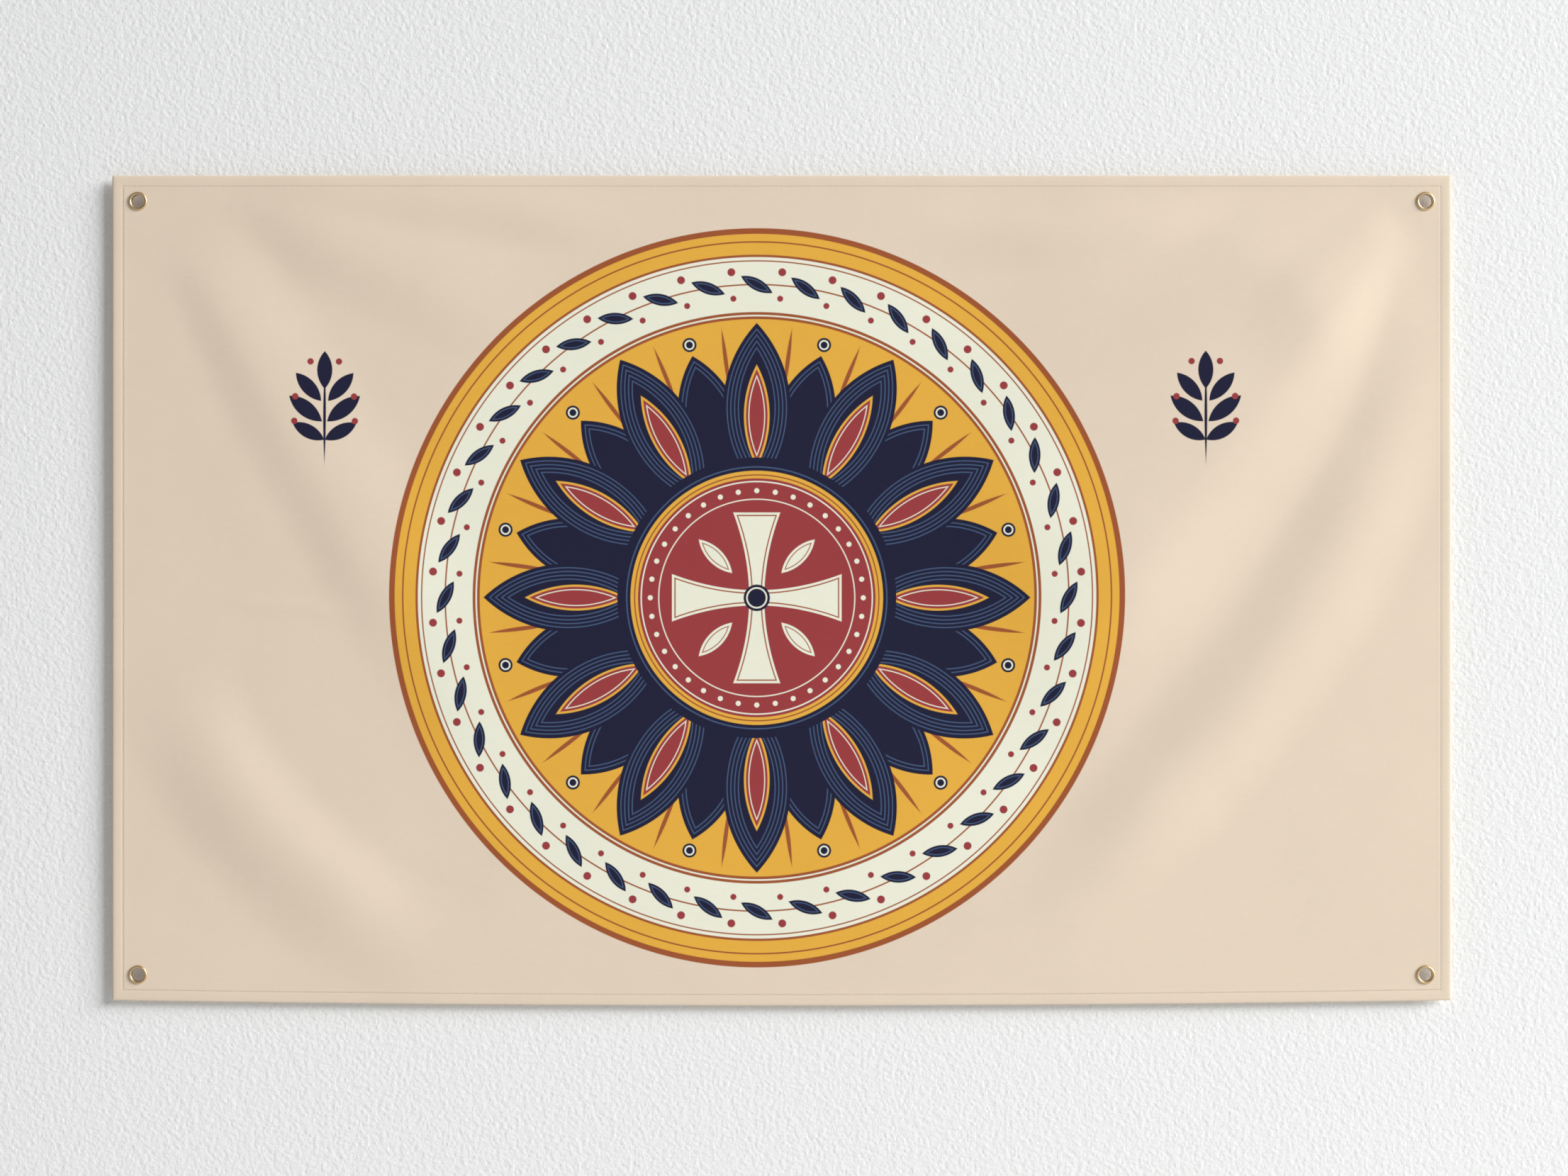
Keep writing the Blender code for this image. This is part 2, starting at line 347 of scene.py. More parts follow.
# A ring turned about the axis of an eyelet. The section is (radius, distance in front of the cloth).
# A second material, a copy of the brass painted dark as shade, goes to the inside of the barrel.
def turnRing(name, section, middle, steps, materials):
    bm = bmesh.new()
    corners = [bm.verts.new((middle.x + r, -h, middle.z)) for r, h in section]
    edges = [bm.edges.new(pair) for pair in zip(corners, corners[1:] + corners[:1])]
    bmesh.ops.spin(bm, geom=corners + edges, cent=(middle.x, 0, middle.z), axis=(0, 1, 0),
                   angle=2 * math.pi, steps=steps, use_merge=True)
    bmesh.ops.remove_doubles(bm, verts=bm.verts, dist=eyelet["weld"])
    bmesh.ops.recalc_face_normals(bm, faces=bm.faces)
    if len(materials) > 1:
        for face in bm.faces:
            place = face.calc_center_median()
            if (place - middle).xz.length < eyelet["bore"] + eyelet["barrelEdge"] and place.y > 0:
                face.material_index = 1
    ring = meshObject(bm, name, materials)
    ring.data.set_sharp_from_angle(angle=math.radians(eyelet["sharpFrom"]))
    return ring


def arcPoints(centre, radii, fromAngle, toAngle, count):
    angles = [math.radians(fromAngle + (toAngle - fromAngle) * i / (count - 1)) for i in range(count)]
    return [(centre[0] + radii[0] * math.cos(a), centre[1] + radii[1] * math.sin(a)) for a in angles]


eyelet = {
    "steps": 72,                # round the axis
    "arcs": {"dome": 9, "throat": 11, "foot": 6, "roll": 9},   # points on each curve of the section
    "sharpFrom": 50,            # degrees between two faces that shade apart
    "weld": 0.001 * mm,         # corners that lie this near become one
    "bore": 6.8 * mm,
    "crown": 8.45 * mm,         # radius where the flange is highest
    "height": 1.9 * mm,
    "rim": 10.0 * mm,
    "rimFoot": 0.25 * mm,       # the dome starts this far in front of the cloth at its rim
    "boreFoot": 0.1 * mm,       # and this far at the bore
    "under": 0.02 * mm,         # its flat underside clears the cloth
    "wall": 0.2 * mm,
    "barrel": 7.3 * mm,         # its outer radius
    "barrelEdge": 0.3 * mm,     # faces this near the bore are the inside of the barrel
    "lipRadius": 8.8 * mm,      # of the lip that is rolled over the washer
    "lipFront": -2.5 * mm,
    "lipBack": -3.1 * mm,
}


def eyeletSection():
    e, arcs = eyelet, eyelet["arcs"]
    outer = arcPoints((e["crown"], e["rimFoot"]),
                      (e["rim"] - e["crown"], e["height"] - e["rimFoot"]), 0, 90, arcs["dome"])
    inner = arcPoints((e["crown"], e["boreFoot"]),
                      (e["crown"] - e["bore"], e["height"] - e["boreFoot"]), 90, 180, arcs["throat"])
    lipMiddle = (e["lipFront"] + e["lipBack"]) / 2
    lipHalf = (e["lipFront"] - e["lipBack"]) / 2
    foot = arcPoints((e["bore"] + lipHalf, lipMiddle), (lipHalf, lipHalf), 180, 270, arcs["foot"])
    roll = arcPoints((e["lipRadius"] - lipHalf, lipMiddle), (lipHalf, lipHalf), 270, 450, arcs["roll"])
    under = [(e["barrel"], e["lipFront"]), (e["barrel"], e["under"]), (e["rim"] - e["wall"], e["under"])]
    return outer + inner[1:] + foot + roll + under


washer = {"inner": 7.6 * mm, "outer": 9.9 * mm, "front": -1.3 * mm, "back": -1.9 * mm, "round": 0.15 * mm}


def washerSection():
    w = washer
    return [(w["inner"], w["front"]), (w["inner"], w["back"] + w["round"]),
            (w["inner"] + w["round"], w["back"]), (w["outer"] - w["round"], w["back"]),
            (w["outer"], w["back"] + w["round"]), (w["outer"], w["front"])]


# Inks as they print on this cloth
inks = {
    "cream": "#e1cfba",
    "gold": "#e4ac42",
    "rust": "#9d542f",
    "offWhite": "#eae9d6",
    "navy": "#1b1c36",
    "steel": "#44587a",
    "brick": "#993b3e",
}
design = {
    "middle": (-0.0265, -0.4457),   # of the disc, from the middle of the top edge
    "blur": 0.45,                   # how far ink creeps at an edge, in mm
}

# The print, from the bottom layer up, in mm from the disc's middle. A motif is laid count times round
# at a radius, turned by a share of a step, and a leaf may be tilted by degrees. Half and width are half
# its length and half its width. Its lines lie inside its edge: (inset, half width, ink).
motifRow = namedtuple("motifRow", "shape ink count turn at half width lines tilt", defaults=[0])


def disc(ink, radius, *lines):
    return motifRow("disc", ink, 0, 0, 0, radius, 0, lines)


def dots(ink, count, turn, at, radius, *lines):
    return motifRow("dot", ink, count, turn, at, radius, 0, lines)


def leaves(ink, count, turn, at, half, width, *lines, tilt=0):
    return motifRow("leaf", ink, count, turn, at, half, width, lines, tilt)


def crossArms(ink, count, turn, length, width, *lines):
    return motifRow("cross", ink, count, turn, 0, length, width, lines)


motifs = [
    disc("rust", 390.0),
    disc("gold", 384.0, (8.5, 0.8, "rust")),
    disc("rust", 362.0),
    disc("offWhite", 359.5, (4.0, 0.7, "rust"), (29.0, 0.8, "rust")),
    leaves("navy", 40, 0.5, 330.5, 19.0, 6.2, (2.6, 0.5, "steel"), tilt=62),
    dots("brick", 40, 0.0, 344.5, 4.2),
    dots("brick", 40, 0.0, 316.5, 3.2),
    disc("rust", 301.5, (3.8, 0.8, "offWhite")),
    disc("gold", 294.0),
    leaves("rust", 24, 0.0, 252.0, 34.0, 2.2),
    dots("navy", 12, 0.0, 276.0, 7.5, (3.0, 0.8, "offWhite")),
    leaves("navy", 12, 0.0, 186.0, 78.0, 33.0, (4.5, 0.6, "steel"), (8.5, 0.6, "steel")),
    leaves("navy", 12, 0.5, 200.0, 90.0, 36.0, (4.5, 0.6, "steel"), (8.5, 0.6, "steel"),
           (12.5, 0.6, "steel"), (16.5, 0.6, "steel")),
    leaves("gold", 12, 0.5, 192.0, 54.0, 13.6),
    leaves("brick", 12, 0.5, 192.0, 49.0, 11.4, (3.0, 0.5, "offWhite")),
    disc("navy", 148.0, (10.0, 0.7, "steel")),
    disc("gold", 134.0, (4.4, 0.7, "rust")),
    disc("brick", 126.0, (3.4, 0.7, "offWhite"), (22.0, 0.6, "offWhite")),
    dots("offWhite", 36, 0.5, 113.0, 2.7),
    leaves("offWhite", 4, 0.0, 62.0, 25.0, 8.0, (3.0, 0.5, "rust")),
    crossArms("offWhite", 4, 0.5, 90.0, 8.0, (3.2, 0.7, "rust")),
    disc("navy", 14.0, (3.6, 0.8, "offWhite")),
]
crossFlare = 0.0021     # how fast an arm of the cross widens, per mm squared

# The two small sprigs, mirrored about their own middle, one each side of the disc
sprig = {"middle": -0.018, "reach": 0.467, "level": -0.244, "ink": "navy", "berryInk": "brick"}
leafRow = namedtuple("leafRow", "x z tilt half width")
sprigLeaves = [
    leafRow(0, -10, 90, 50, 1.5),
    leafRow(0, 38, 90, 20, 8.0),
    leafRow(17, 20, 48, 20, 7.4),
    leafRow(20, -3, 38, 22, 8.2),
    leafRow(17, -27, 28, 19, 7.2),
]
berryRow = namedtuple("berryRow", "x z radius")
sprigBerries = [berryRow(15, 47, 3.4), berryRow(31, 10, 3.4), berryRow(32, -16, 3.4)]


# Turns each of count wedges onto the first, so that one motif repeats round the middle
def wedgePlace(tree, place, count, turn):
    step = 2 * math.pi / count
    parts = addNode(tree, "ShaderNodeSeparateXYZ", links={0: place})
    angle = addNode(tree, "ShaderNodeMath", {"operation": "ARCTAN2"},
                    {0: parts.outputs["Y"], 1: parts.outputs["X"]})
    shifted = addNode(tree, "ShaderNodeMath", {"operation": "ADD", 1: turn * step}, {0: angle.outputs[0]})
    snapped = addNode(tree, "ShaderNodeMath", {"operation": "SNAP", 1: step}, {0: shifted.outputs[0]})
    back = addNode(tree, "ShaderNodeMath", {"operation": "MULTIPLY_ADD", 1: -1.0, 2: (turn - 0.5) * step},
                   {0: snapped.outputs[0]})
    turned = addNode(tree, "ShaderNodeVectorRotate", {"rotation_type": "Z_AXIS"},
                     {"Vector": place, "Angle": back.outputs[0]})
    return turned.outputs[0]


# Distance to the edge of a leaf, the shape where two circles overlap, less than zero inside
def leafDistance(tree, place, middle, tilt, half, width):
    radius = (half ** 2 + width ** 2) / (2 * width)
    moved = addNode(tree, "ShaderNodeVectorMath", {"operation": "SUBTRACT", 1: (*middle, 0)}, {0: place})
    turned = addNode(tree, "ShaderNodeVectorRotate",
                     {"rotation_type": "Z_AXIS", "Angle": -math.radians(tilt)}, {"Vector": moved.outputs[0]})
    quarter = addNode(tree, "ShaderNodeVectorMath", {"operation": "ABSOLUTE"}, {0: turned.outputs[0]})
    opposite = addNode(tree, "ShaderNodeVectorMath", {"operation": "ADD", 1: (0, radius - width, 0)},
                       {0: quarter.outputs[0]})
    away = addNode(tree, "ShaderNodeVectorMath", {"operation": "LENGTH"}, {0: opposite.outputs[0]})
    return addNode(tree, "ShaderNodeMath", {"operation": "SUBTRACT", 1: radius},
                   {0: away.outputs["Value"]}).outputs[0]


def dotDistance(tree, place, middle, radius):
    away = addNode(tree, "ShaderNodeVectorMath", {"operation": "DISTANCE", 1: (*middle, 0)}, {0: place})
    return addNode(tree, "ShaderNodeMath", {"operation": "SUBTRACT", 1: radius},
                   {0: away.outputs["Value"]}).outputs[0]


# One arm of a plain cross that widens towards its end
def armDistance(tree, place, length, width):
    parts = addNode(tree, "ShaderNodeSeparateXYZ", links={0: place})
    square = addNode(tree, "ShaderNodeMath", {"operation": "POWER", 1: 2.0}, {0: parts.outputs["X"]})
    flare = addNode(tree, "ShaderNodeMath", {"operation": "MULTIPLY_ADD", 1: crossFlare, 2: width},
                    {0: square.outputs[0]})
    beside = addNode(tree, "ShaderNodeMath", {"operation": "ABSOLUTE"}, {0: parts.outputs["Y"]})
    side = addNode(tree, "ShaderNodeMath", {"operation": "SUBTRACT"},
                   {0: beside.outputs[0], 1: flare.outputs[0]})
    tip = addNode(tree, "ShaderNodeMath", {"operation": "SUBTRACT", 1: length}, {0: parts.outputs["X"]})
    return addNode(tree, "ShaderNodeMath", {"operation": "MAXIMUM"},
                   {0: side.outputs[0], 1: tip.outputs[0]}).outputs[0]


def motifDistance(tree, place, row):
    if row.shape == "leaf":
        return leafDistance(tree, place, (row.at, 0), row.tilt, row.half, row.width)
    if row.shape == "cross":
        return armDistance(tree, place, row.half, row.width)
    return dotDistance(tree, place, (row.at, 0), row.half)


# Lays an ink over what is printed so far, where a distance is below the reach. A mix node takes its two
# colours at 6 and 7 and gives the mixed one at 2.
def layInk(tree, printed, distance, ink, reach=0.0):
    covered = addNode(tree, "ShaderNodeMapRange",
                      {"From Min": reach + design["blur"], "From Max": reach - design["blur"]},
                      {"Value": distance})
    mixed = addNode(tree, "ShaderNodeMix", {"data_type": "RGBA", 7: linearColour(inks[ink])},
                    {0: covered.outputs[0], 6: printed})
    return mixed.outputs[2]


# Lays a thin line that keeps one distance inside a motif's edge
def layLine(tree, printed, distance, inset, halfWidth, ink):
    fromLine = addNode(tree, "ShaderNodeMath", {"operation": "ADD", 1: inset}, {0: distance})
    beside = addNode(tree, "ShaderNodeMath", {"operation": "ABSOLUTE"}, {0: fromLine.outputs[0]})
    return layInk(tree, printed, beside.outputs[0], ink, halfWidth)


# A place on the flat cloth in mm, counted from a point given in metres
def flatPlace(tree, flat, origin):
    moved = addNode(tree, "ShaderNodeVectorMath", {"operation": "SUBTRACT", 1: (*origin, 0)}, {0: flat})
    return addNode(tree, "ShaderNodeVectorMath", {"operation": "SCALE", "Scale": 1 / mm},
                   {0: moved.outputs[0]}).outputs[0]


def printedColour(tree, flat):
    cream = addNode(tree, "ShaderNodeRGB")
    cream.outputs[0].default_value = linearColour(inks["cream"])
    printed = cream.outputs[0]
    place = flatPlace(tree, flat, design["middle"])
    wedges = {}
    for row in motifs:
        here = place
        if row.count:
            key = (row.count, row.turn)
            if key not in wedges:
                wedges[key] = wedgePlace(tree, place, *key)
            here = wedges[key]
        distance = motifDistance(tree, here, row)
        printed = layInk(tree, printed, distance, row.ink)
        for inset, halfWidth, ink in row.lines:
            printed = layLine(tree, printed, distance, inset, halfWidth, ink)
    return paintSprigs(tree, printed, flat)


def paintSprigs(tree, printed, flat):
    fromMiddle = flatPlace(tree, flat, (sprig["middle"], sprig["level"]))
    parts = addNode(tree, "ShaderNodeSeparateXYZ", links={0: fromMiddle})
    beside = addNode(tree, "ShaderNodeMath", {"operation": "ABSOLUTE"}, {0: parts.outputs["X"]})
    fromStem = addNode(tree, "ShaderNodeMath", {"operation": "SUBTRACT", 1: sprig["reach"] / mm},
                       {0: beside.outputs[0]})
    half = addNode(tree, "ShaderNodeMath", {"operation": "ABSOLUTE"}, {0: fromStem.outputs[0]})
    own = addNode(tree, "ShaderNodeCombineXYZ",
                  links={"X": half.outputs[0], "Y": parts.outputs["Y"]}).outputs[0]
    for leaf in sprigLeaves:
        distance = leafDistance(tree, own, (leaf.x, leaf.z), leaf.tilt, leaf.half, leaf.width)
        printed = layInk(tree, printed, distance, sprig["ink"])
    for berry in sprigBerries:
        distance = dotDistance(tree, own, (berry.x, berry.z), berry.radius)
        printed = layInk(tree, printed, distance, sprig["berryInk"])
    return printed


twill = {
    "spacing": 1.8,         # mm from one diagonal rib to the next
    "lean": -55,            # degrees that bring the ribs upright: they run down to the right
    "crossLean": 47,        # of the fainter lines that cross them
    "crossShare": 0.85,     # and how strong these are, of the ribs
    # painted shade and light: the weave's furrows are painted darker and its ribs lighter
    "tint": 0.016,          # how much darker the furrows are
    "height": 0.000022,     # of a rib
    "slub": 0.03,           # streaks of uneven yarn
    "slubSize": (20.0, 1.11),   # mm along and across a yarn
    "tone": 0.04,           # slow changes of tone
    "toneSize": 125.0,      # mm
    "grainSize": 0.91,      # mm, of the fibres' roughness
    "grainShare": 0.35,     # and how strong it is, of the ribs
    "backShows": 0.62,      # how much of the print comes through to the back
}
rippleUnit = 20.0           # a wave texture turns this many radians a unit at scale 1


# Soft parallel lines across the cloth, leaning by some degrees
def weaveLines(tree, place, lean):
    leaning = addNode(tree, "ShaderNodeVectorRotate",
                      {"rotation_type": "Z_AXIS", "Angle": math.radians(lean)}, {"Vector": place})
    lines = addNode(tree, "ShaderNodeTexWave",
                    {"wave_type": "BANDS", "bands_direction": "X", "wave_profile": "SIN",
                     "Scale": 2 * math.pi / (rippleUnit * twill["spacing"]),
                     "Distortion": 0.8, "Detail": 2.0, "Detail Scale": 3.0},
                    {"Vector": leaning.outputs[0]})
    return lines.outputs["Fac"]


# Twill-woven polyester, dye-printed: matt and dry, with fine diagonal ribs and faint uneven yarns, and with
# painted shade in the weave's furrows and in the needle holes.
# The back is the same cloth, where the print shows through paler.
def clothMaterial(name, showThrough):
    material, tree = newMaterial(name)
    flat = addNode(tree, "ShaderNodeUVMap", {"uv_map": "flatCloth"}).outputs[0]
    place = flatPlace(tree, flat, (0, 0))
    colour = printedColour(tree, flat)
    if showThrough < 1:
        paler = addNode(tree, "ShaderNodeMix", {"data_type": "RGBA", 0: showThrough,
                                                6: linearColour(inks["cream"])}, {7: colour})
        colour = paler.outputs[2]

    ribs = weaveLines(tree, place, twill["lean"])
    crossing = weaveLines(tree, place, twill["crossLean"])
    weave = addNode(tree, "ShaderNodeMath", {"operation": "MULTIPLY_ADD", 1: twill["crossShare"]},
                    {0: crossing, 2: ribs}).outputs[0]
    yarnPlace = addNode(tree, "ShaderNodeVectorMath",
                        {"operation": "DIVIDE", 1: (*twill["slubSize"], 1)}, {0: place})
    yarns = addNode(tree, "ShaderNodeTexNoise", {"Scale": 1.0, "Detail": 3.0},
                    {"Vector": yarnPlace.outputs[0]})
    grain = addNode(tree, "ShaderNodeTexNoise", {"Scale": 1 / twill["grainSize"], "Detail": 2.0},
                    {"Vector": place})
    tones = addNode(tree, "ShaderNodeTexNoise", {"Scale": 1 / twill["toneSize"], "Detail": 3.0},
                    {"Vector": place})

    # Painted shade in the weave's furrows and painted light on its ribs, then the uneven yarns and slow
    # tones, each add to one tint round 1
    tint = addNode(tree, "ShaderNodeMapRange", {"To Min": 1 - twill["tint"], "To Max": 1 + twill["tint"]},
                   {"Value": weave}).outputs[0]
    for cause, amount in ((yarns, twill["slub"]), (tones, twill["tone"])):
        tint = addNode(tree, "ShaderNodeMath", {"operation": "MULTIPLY_ADD", 1: 2 * amount},
                       {0: cause.outputs["Fac"], 2: tint}).outputs[0]
    tint = addNode(tree, "ShaderNodeMath",
                   {"operation": "SUBTRACT", 1: twill["slub"] + twill["tone"]}, {0: tint}).outputs[0]
    # The needle holes sink in the bump and are painted darker, as painted shade in the pits
    holes = needleHoles(tree, flat)
    tintWithHoleShade = addNode(tree, "ShaderNodeMath", {"operation": "MULTIPLY_ADD", 1: -needleHole["dark"]},
                   {0: holes, 2: tint})
    woven = addNode(tree, "ShaderNodeVectorMath", {"operation": "SCALE"},
                    {0: colour, "Scale": tintWithHoleShade.outputs[0]})

    relief = addNode(tree, "ShaderNodeMath", {"operation": "MULTIPLY_ADD", 1: twill["grainShare"]},
                     {0: grain.outputs["Fac"], 2: weave})
    relief = addNode(tree, "ShaderNodeMath", {"operation": "SUBTRACT"}, {0: relief.outputs[0], 1: holes})
    bump = addNode(tree, "ShaderNodeBump", {"Strength": 1.0, "Distance": twill["height"]},
                   {"Height": relief.outputs[0]})
    shader = addNode(tree, "ShaderNodeBsdfPrincipled",
                     {"Roughness": 0.88, "IOR": 1.5, "Specular IOR Level": 0.18,
                      "Sheen Weight": 0.06, "Sheen Roughness": 0.5},
                     {"Base Color": woven.outputs[0], "Normal": bump.outputs[0]})
    addNode(tree, "ShaderNodeOutputMaterial", links={"Surface": shader.outputs[0]})
    return material


# A pit is painted darker by a share, as painted shade in it. It fades from its core to its rim, off the
# stitched line in metres and along it in shares of the pitch.
needleHole = {"core": 0.35 * mm, "rim": 0.75 * mm, "coreAlong": 0.12, "rimAlong": 0.26, "dark": 0.4}


# Where the needle went in: 1 in each small pit along the stitched line, 0 elsewhere
def needleHoles(tree, flat):
    height, inset = flag["height"], stitch["inset"]
    centred = addNode(tree, "ShaderNodeVectorMath", {"operation": "ADD", 1: (0, height / 2, 0)}, {0: flat})
    folded = addNode(tree, "ShaderNodeVectorMath", {"operation": "ABSOLUTE"}, {0: centred.outputs[0]})
    fromLine = addNode(tree, "ShaderNodeVectorMath",
                       {"operation": "SUBTRACT", 1: (flagWidth / 2 - inset, height / 2 - inset, 0)},
                       {0: folded.outputs[0]})
    parts = addNode(tree, "ShaderNodeSeparateXYZ", links={0: fromLine.outputs[0]})
    outer = addNode(tree, "ShaderNodeMath", {"operation": "MAXIMUM"},
                    {0: parts.outputs["X"], 1: parts.outputs["Y"]})
    beside = addNode(tree, "ShaderNodeMath", {"operation": "ABSOLUTE"}, {0: outer.outputs[0]})
    onLine = addNode(tree, "ShaderNodeMapRange",
                     {"From Min": needleHole["rim"], "From Max": needleHole["core"]},
                     {"Value": beside.outputs[0]})
    flatParts = addNode(tree, "ShaderNodeSeparateXYZ", links={0: flat})
    along = addNode(tree, "ShaderNodeMath", {"operation": "ADD"},
                    {0: flatParts.outputs["X"], 1: flatParts.outputs["Y"]})
    run = addNode(tree, "ShaderNodeMath", {"operation": "MULTIPLY_ADD", 1: 1 / stitch["pitch"],
                                           2: flagWidth / 2 / stitch["pitch"]}, {0: along.outputs[0]})
    toHole = addNode(tree, "ShaderNodeMath", {"operation": "PINGPONG", 1: 0.5}, {0: run.outputs[0]})
    atHole = addNode(tree, "ShaderNodeMapRange",
                     {"From Min": needleHole["rimAlong"], "From Max": needleHole["coreAlong"]},
                     {"Value": toHole.outputs[0]})
    return addNode(tree, "ShaderNodeMath", {"operation": "MULTIPLY"},
                   {0: onLine.outputs[0], 1: atHole.outputs[0]}).outputs[0]


# painted shade: the furrow colour is the twist's shade, darker than the ply colour
threadLook = {"furrow": "#d8c7ae", "ply": "#e4d3bb", "twist": 0.5 * mm, "depth": 0.03 * mm, "rough": 0.6}


# Spun polyester sewing thread: a little smoother than the cloth, with a tight twist whose furrows are
# painted darker than its plies, as painted shade
def threadMaterial():
    material, tree = newMaterial("spunPolyesterThread")
    place = addNode(tree, "ShaderNodeTexCoord").outputs["Object"]
    twist = addNode(tree, "ShaderNodeTexWave",
                    {"bands_direction": "DIAGONAL",
                     "Scale": 2 * math.pi / (rippleUnit * threadLook["twist"])},
                    {"Vector": place})
    colour = addNode(tree, "ShaderNodeMix",
                     {"data_type": "RGBA", 6: linearColour(threadLook["furrow"]),
                      7: linearColour(threadLook["ply"])},
                     {0: twist.outputs["Fac"]})
    bump = addNode(tree, "ShaderNodeBump", {"Strength": 0.4, "Distance": threadLook["depth"]},
                   {"Height": twist.outputs["Fac"]})
    shader = addNode(tree, "ShaderNodeBsdfPrincipled",
                     {"Roughness": threadLook["rough"], "IOR": 1.5, "Sheen Weight": 0.1},
                     {"Base Color": colour.outputs[2], "Normal": bump.outputs[0]})
    addNode(tree, "ShaderNodeOutputMaterial", links={"Surface": shader.outputs[0]})
    return material


# Brass, pressed and tumbled: warm, softly polished, with faint rub marks. Inside the barrel it is
# rougher and painted dark, as painted shade in the hollow bore.
brassRow = namedtuple("brassRow", "name dark light smooth rough")
brasses = [
    brassRow("lacqueredBrass", "#d2b386", "#e6cda4", 0.34, 0.50),
    # a darker copy of the brass for the inside of the barrel: painted shade
    brassRow("shadedDullBarrel", "#4f463a", "#6d6253", 0.55, 0.75),
]
# How broad the rub marks and the clouds of colour are, and how deep the marks
brassWear = {"rubSize": 0.71 * mm, "rubDepth": 0.02 * mm, "cloudSize": 3.85 * mm}


def brassMaterial(row):
    material, tree = newMaterial(row.name)
    place = addNode(tree, "ShaderNodeTexCoord").outputs["Object"]
    rubs = addNode(tree, "ShaderNodeTexNoise", {"Scale": 1 / brassWear["rubSize"], "Detail": 4.0},
                   {"Vector": place})
    clouds = addNode(tree, "ShaderNodeTexNoise", {"Scale": 1 / brassWear["cloudSize"], "Detail": 2.0},
                     {"Vector": place})
    colour = addNode(tree, "ShaderNodeMix",
                     {"data_type": "RGBA", 6: linearColour(row.dark), 7: linearColour(row.light)},
                     {0: clouds.outputs["Fac"]})
    roughness = addNode(tree, "ShaderNodeMapRange", {"To Min": row.smooth, "To Max": row.rough},
                        {"Value": rubs.outputs["Fac"]})
    bump = addNode(tree, "ShaderNodeBump", {"Strength": 0.25, "Distance": brassWear["rubDepth"]},
                   {"Height": rubs.outputs["Fac"]})
    shader = addNode(tree, "ShaderNodeBsdfPrincipled", {"Metallic": 1.0},
                     {"Base Color": colour.outputs[2], "Roughness": roughness.outputs[0],
                      "Normal": bump.outputs[0]})
    addNode(tree, "ShaderNodeOutputMaterial", links={"Surface": shader.outputs[0]})
    return material


stage = {
    "wallGap": 0.0104,          # from the cloth's edge back to the wall
    "floorLevel": -1.6,         # from the flag's top edge
    "wallSize": (7.0, 4.4),     # width and height
    "wallColour": "#ececeb",
    "wallGrain": 0.9 * mm,      # height of the plaster's bumps
    "floorSize": (11.2, 11.2),
    "floorColour": "#d3d3d1",
    "floorGrain": 0.1 * mm,
    "grainSize": 4.17 * mm,     # across, of both
}


# Matt plaster or paint. It shows from its front only, so that a view from behind sees the flag's back
def stageMaterial(name, hexCode, grainHeight):
    material, tree = newMaterial(name)
    place = addNode(tree, "ShaderNodeTexCoord").outputs["Object"]
    grain = addNode(tree, "ShaderNodeTexNoise",
                    {"Scale": 1 / stage["grainSize"], "Detail": 3.0, "Roughness": 0.42}, {"Vector": place})
    bump = addNode(tree, "ShaderNodeBump", {"Strength": 1.0, "Distance": grainHeight},
                   {"Height": grain.outputs["Fac"]})
    paint = addNode(tree, "ShaderNodeBsdfPrincipled",
                    {"Base Color": linearColour(hexCode), "Roughness": 0.9, "Specular IOR Level": 0.2},
                    {"Normal": bump.outputs[0]})
    clear = addNode(tree, "ShaderNodeBsdfTransparent")
    side = addNode(tree, "ShaderNodeNewGeometry")
    oneSided = addNode(tree, "ShaderNodeMixShader",
                       links={0: side.outputs["Backfacing"], 1: paint.outputs[0], 2: clear.outputs[0]})
    addNode(tree, "ShaderNodeOutputMaterial", links={"Surface": oneSided.outputs[0]})
    return material


# A flat stage piece: lying, or standing when it is tilted up by 90 degrees
def stagePlane(name, size, tilt, middle, material):
    bm = bmesh.new()
    bmesh.ops.create_grid(bm, x_segments=1, y_segments=1, size=0.5)
    bmesh.ops.scale(bm, vec=(*size, 1), verts=bm.verts)
    bmesh.ops.rotate(bm, matrix=Matrix.Rotation(math.radians(tilt), 3, "X"), verts=bm.verts)
    bmesh.ops.translate(bm, vec=middle, verts=bm.verts)
    return meshObject(bm, name, [material])


def buildStage():
    level = stage["floorLevel"]
    plaster = stageMaterial("mattPlaster", stage["wallColour"], stage["wallGrain"])
    paint = stageMaterial("mattFloor", stage["floorColour"], stage["floorGrain"])
    wallMiddle = (0, stage["wallGap"], level + stage["wallSize"][1] / 2)
    wall = stagePlane("wall", stage["wallSize"], 90, wallMiddle, plaster)
    wall.visible_shadow = False
    floor = stagePlane("floor", stage["floorSize"], 0, (0, 0, level), paint)


# Soft daylight from the right and a little above, and lamps behind for the views of the back.
# Each lamp: turn to the right and height in degrees, distance and size in metres, power in watts
lampRow = namedtuple("lampRow", "name turn height distance size power colour")
lamps = [
    lampRow("windowLight", 62, 23, 20.0, (11.5, 8.0), 5800, "#fdfeff"),
    lampRow("backLight", 122, 24, 9.0, (5.4, 4.5), 310, "#ffffff"),
    lampRow("backFill", 215, 10, 9.0, (6.3, 5.4), 120, "#f4f7ff"),
]
world = {"colour": "#f3f5f7", "strength": 0.22}


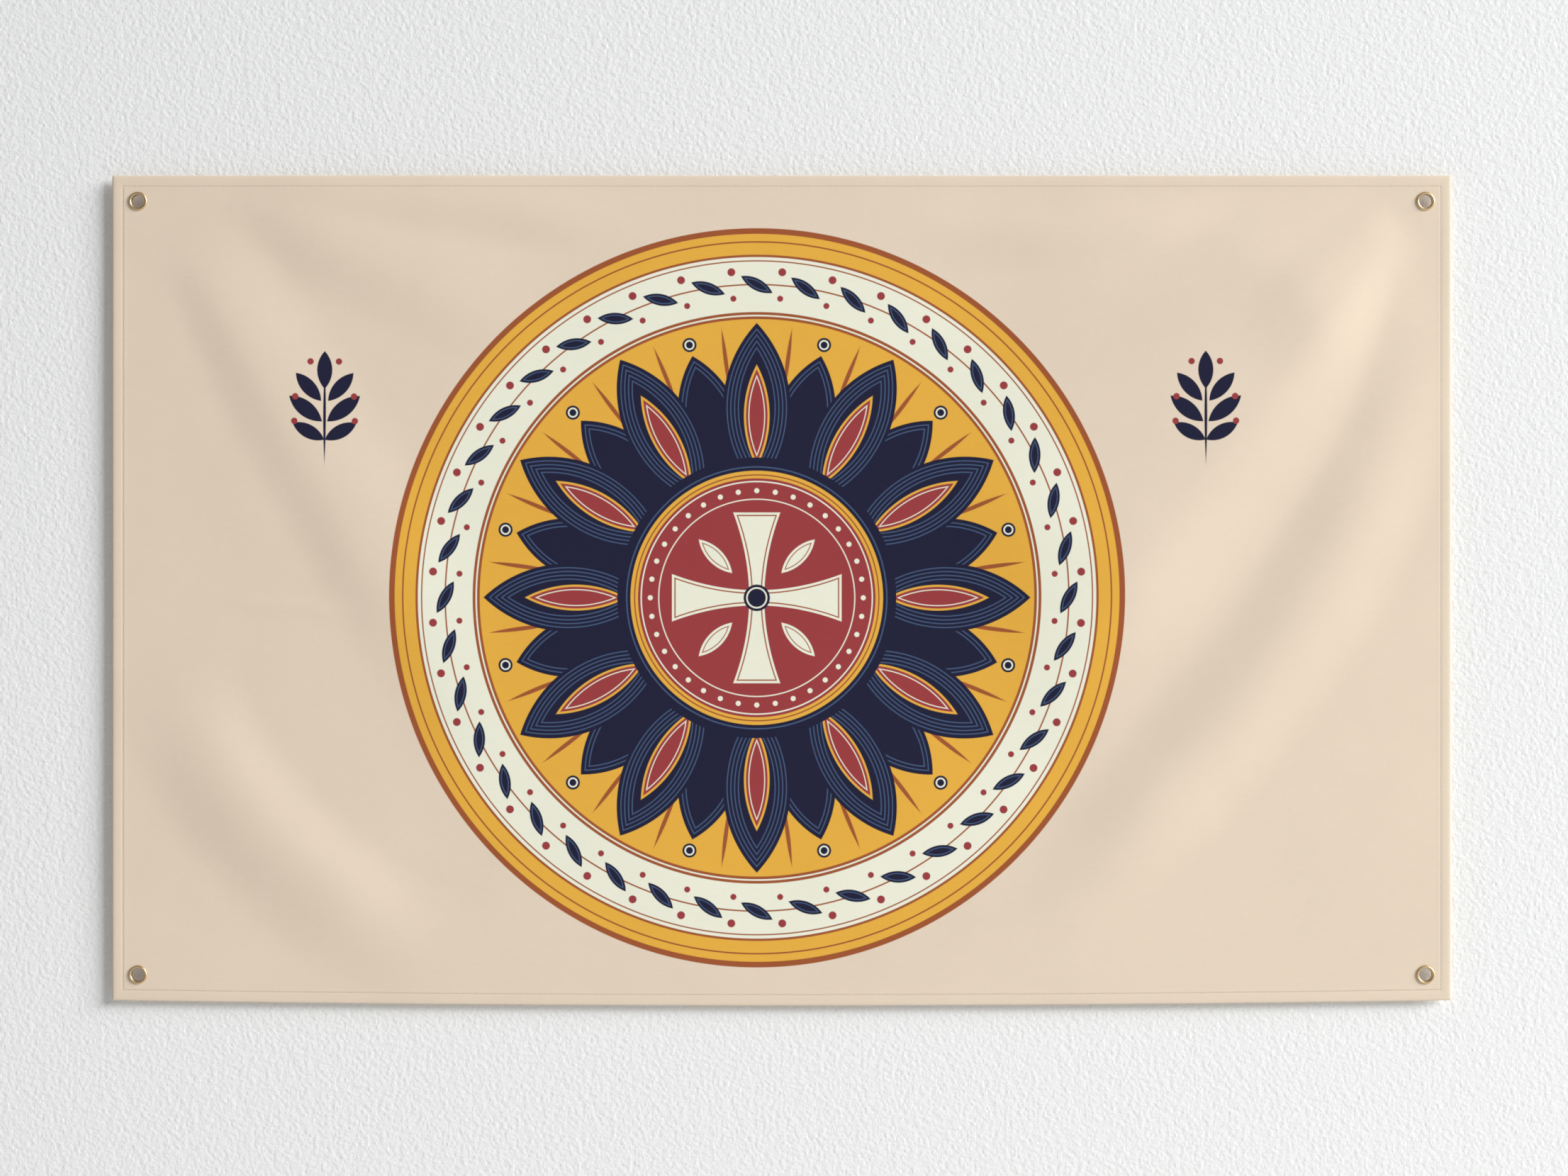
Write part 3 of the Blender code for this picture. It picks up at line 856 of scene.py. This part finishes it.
def buildLights():
    middle = Vector((0, 0, -flag["height"] / 2))
    for row in lamps:
        turn, height = math.radians(row.turn), math.radians(row.height)
        away = Vector((math.sin(turn) * math.cos(height), -math.cos(turn) * math.cos(height),
                       math.sin(height)))
        data = bpy.data.lights.new(row.name, "AREA")
        data.shape = "RECTANGLE"
        data.size, data.size_y = row.size
        data.energy = row.power
        data.color = linearColour(row.colour)[:3]
        lamp = bpy.data.objects.new(row.name, data)
        lamp.location = middle + away * row.distance
        lamp.rotation_mode = "QUATERNION"
        lamp.rotation_quaternion = away.to_track_quat("Z", "Y")
        bpy.context.scene.collection.objects.link(lamp)
    sky = bpy.data.worlds.new("softRoom")
    sky.use_nodes = True
    background = sky.node_tree.nodes["Background"]
    background.inputs["Color"].default_value = linearColour(world["colour"])
    background.inputs["Strength"].default_value = world["strength"]
    bpy.context.scene.world = sky


# The photograph looks straight at the middle of the flag
camera = {"lens": 70.0, "sensor": 36.0, "viewWidth": 1.6652, "x": 0.0024, "z": -0.4381}


def buildCamera():
    data = bpy.data.cameras.new("camera")
    data.lens = camera["lens"]
    data.sensor_width = camera["sensor"]
    viewer = bpy.data.objects.new("camera", data)
    distance = camera["viewWidth"] * camera["lens"] / camera["sensor"]
    viewer.location = (camera["x"], -distance, camera["z"])
    viewer.rotation_euler = (math.radians(90), 0, 0)
    bpy.context.scene.collection.objects.link(viewer)
    bpy.context.scene.camera = viewer
    bpy.context.scene.view_settings.view_transform = "Standard"


print("Materials")
clothFront = clothMaterial("printedTwillFront", 1.0)
clothBack = clothMaterial("printedTwillBack", twill["backShows"])
thread = threadMaterial()
brass, paintedShadeBrass = (brassMaterial(row) for row in brasses)

print("Cloth")
cloth = buildCloth(clothFront, clothBack)
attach(cloth, "root")
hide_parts("panel", "left_strip", "right_strip")

print("Stitches")
stitchRows = [buildStitches("hemStitchesFront", thread, onBack=False),
              buildStitches("hemStitchesBack", thread, onBack=True)]
for row in stitchRows:
    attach(row, "root")

print("Eyelets")
rings = []
for corner, middle in eyelets.items():
    node = corner.replace("Left", "_left").replace("Right", "_right").lower()
    ring = turnRing(f"eyelet{corner}", eyeletSection(), middle, eyelet["steps"], [brass, paintedShadeBrass])
    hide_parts(f"eyelet_{node}")
    back = turnRing(f"washer{corner}", washerSection(), middle, eyelet["steps"], [brass])
    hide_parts(f"washer_{node}")
    rings += [ring, back]
for ring in rings:
    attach(ring, "root")

print("Stage, light and camera")
buildStage()
buildLights()
buildCamera()
